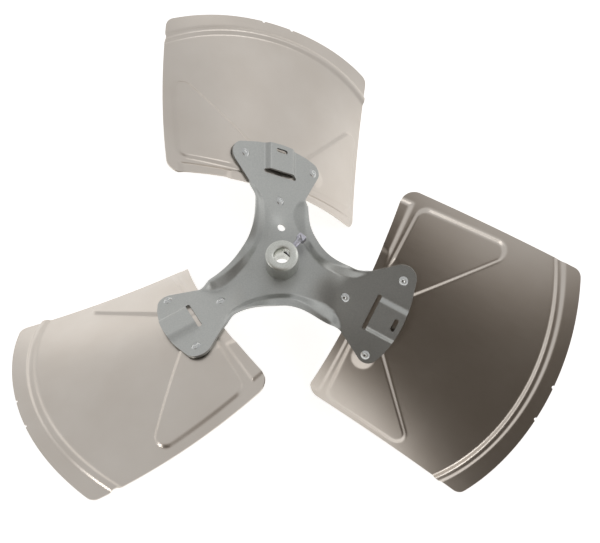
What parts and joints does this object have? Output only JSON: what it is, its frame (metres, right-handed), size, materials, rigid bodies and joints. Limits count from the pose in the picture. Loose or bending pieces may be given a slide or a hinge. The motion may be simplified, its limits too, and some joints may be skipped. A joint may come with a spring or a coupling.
{
  "type": "axial fan impeller",
  "caption": "Pressed sheet-metal axial fan impeller: a bored hub with a square-head set screw, a twisted spider and riveted blades with raised pads and a bead along the tip",
  "frame": {"origin": "on the bore axis, at the face of the spider that the hub stands on", "axes": "+Z along the bore axis towards the hub's free end, which is the air inlet side; +Y along the first arm; +X to the right seen from the hub side"},
  "size_m": [0.444, 0.4125, 0.1205],
  "materials": {
    "hub": "turned steel, zinc plated",
    "set_screw": "zinc plated screw, black between the threads",
    "spider": "galvanised sheet steel, finely mottled",
    "blade": "mill-finish aluminium sheet, rolled grain, dull",
    "rivet": "bright aluminium, as set"
  },
  "bodies": {
    "root": {"hub": "hub", "set_screw": "set_screw", "spider": "spider", "blade_1": "blade", "blade_2": "blade", "blade_3": "blade", "rivet_1_inner": "rivet", "rivet_1_leading": "rivet", "rivet_1_trailing": "rivet", "rivet_2_inner": "rivet", "rivet_2_leading": "rivet", "rivet_2_trailing": "rivet", "rivet_3_inner": "rivet", "rivet_3_leading": "rivet", "rivet_3_trailing": "rivet"}
  },
  "joints": []
}
